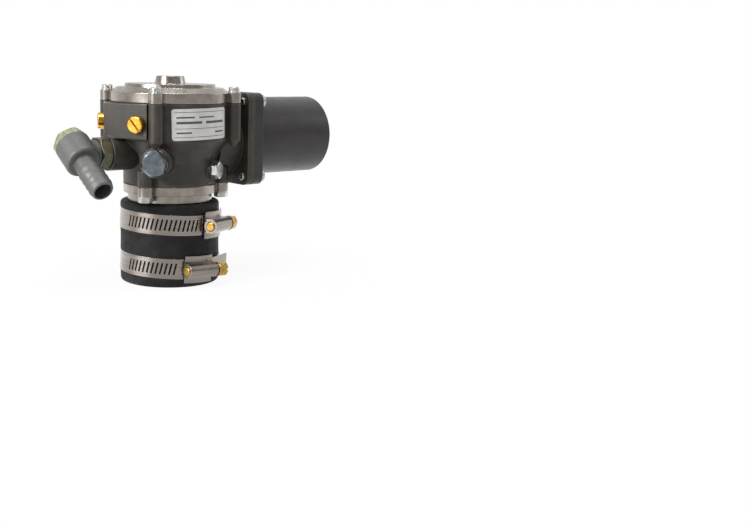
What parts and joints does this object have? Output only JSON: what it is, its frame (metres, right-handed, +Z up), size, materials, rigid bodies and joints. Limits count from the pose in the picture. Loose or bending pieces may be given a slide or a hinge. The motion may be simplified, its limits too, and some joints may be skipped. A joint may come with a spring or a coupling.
{
  "type": "gas mixer with coupling hose",
  "caption": "Air-valve gas mixer on a short rubber coupling hose with worm-drive clamps, a side air tube, a gas inlet elbow with hose barb, and slotted mixture screws.",
  "frame": {"origin": "centre of the coupling hose's open lower end", "axes": "+Z up the hose and the mixer's axis, +X along the air tube towards its open end, gas inlet towards -X"},
  "size_m": [0.1917, 0.0801, 0.1317],
  "materials": {
    "black_casting": "dark satin coating on an aluminium casting",
    "black_paint": "satin black paint on steel",
    "bare_aluminium": "turned bare metal",
    "gasket_paper": "pressed fibre gasket sheet",
    "zinc": "bright zinc on steel",
    "blue_zinc": "blue-grey zinc on steel",
    "yellow_zinc": "yellow chromated zinc on steel",
    "pale_zinc": "pale yellow zinc on steel",
    "olive_zinc": "dark olive chromated zinc on steel",
    "stainless_strip": "rolled stainless strip",
    "spring_steel": "plain spring wire",
    "brass": "turned brass",
    "grey_casting": "matte grey phosphated metal",
    "black_rubber": "matte moulded rubber",
    "diaphragm_rubber": "fabric-backed rubber sheet",
    "label_foil": "light grey foil plate with plain rules"
  },
  "bodies": {
    "mixer": {"mixer_body": "black_casting", "air_inlet_gasket": "gasket_paper", "air_flange": "black_paint", "air_tube": "black_paint", "air_inlet_screws": "zinc", "air_inlet_washers": "zinc", "top_cover": "bare_aluminium", "cover_screws": "zinc", "cover_washers": "zinc", "diaphragm": "diaphragm_rubber", "air_valve_spring": "spring_steel", "gas_hub": "bare_aluminium", "gas_jet": "brass", "hex_plug": "blue_zinc", "hex_plug_washer": "blue_zinc", "vacuum_port_plug": "zinc", "data_plate": "label_foil", "outlet_gasket": "gasket_paper", "outlet_flange": "bare_aluminium", "outlet_screws": "zinc", "outlet_washers": "zinc", "coupling_hose": "black_rubber", "upper_clamp_band": "stainless_strip", "upper_clamp_housing": "stainless_strip", "lower_clamp_band": "stainless_strip", "lower_clamp_housing": "stainless_strip", "gas_inlet_nipple": "olive_zinc", "gas_elbow": "grey_casting", "gas_elbow_plug": "pale_zinc"},
    "air_valve": {"air_valve": "bare_aluminium", "air_valve_seal": "diaphragm_rubber", "gas_metering_valve": "brass", "gas_valve_nut": "zinc", "diaphragm_plate": "zinc", "diaphragm_plate_screws": "zinc"},
    "idle_screw_seal": {"idle_screw_oring": "black_rubber"},
    "idle_screw": {"idle_screw": "brass"},
    "power_screw_seal": {"power_screw_oring": "black_rubber"},
    "power_screw": {"power_screw": "brass"},
    "upper_clamp_screw": {"upper_clamp_screw": "yellow_zinc"},
    "lower_clamp_screw": {"lower_clamp_screw": "yellow_zinc"}
  },
  "joints": [
    {"name": "air_valve_lift", "type": "slide", "parent": "mixer", "child": "air_valve", "axis": [0, 0, 1], "range_m": [0, 0.0055], "stiffness_N_per_m": 120, "springref_m": -0.006, "deforming": ["air_valve_spring", "diaphragm"]},
    {"name": "idle_screw_travel", "type": "slide", "parent": "mixer", "child": "idle_screw_seal", "axis": [-0.8746, -0.4848, 0], "range_m": [-0.0011, 0.0021]},
    {"name": "idle_screw_turn", "type": "hinge", "parent": "idle_screw_seal", "child": "idle_screw", "pos_m": [-0.03149, -0.01745, 0.1027], "axis": [-0.8746, -0.4848, 0], "range_deg": [-360, 720]},
    {"name": "power_screw_travel", "type": "slide", "parent": "mixer", "child": "power_screw_seal", "axis": [-0.8746, 0.4848, 0], "range_m": [-0.0011, 0.0021]},
    {"name": "power_screw_turn", "type": "hinge", "parent": "power_screw_seal", "child": "power_screw", "pos_m": [-0.03149, 0.01745, 0.1027], "axis": [-0.8746, 0.4848, 0], "range_deg": [-360, 720]},
    {"name": "upper_clamp_screw_turn", "type": "hinge", "parent": "mixer", "child": "upper_clamp_screw", "pos_m": [0.00663, -0.03759, 0.03873], "axis": [0.8983, 0.4387, -0.0252], "continuous": true},
    {"name": "lower_clamp_screw_turn", "type": "hinge", "parent": "mixer", "child": "lower_clamp_screw", "pos_m": [-0.00987, -0.03689, 0.01172], "axis": [0.999, 0.018, -0.0405], "continuous": true}
  ],
  "couplings": [
    {"joint": "idle_screw_travel", "follows": "idle_screw_turn", "m_per_rad": 0.00015915},
    {"joint": "power_screw_travel", "follows": "power_screw_turn", "m_per_rad": 0.00015915}
  ]
}
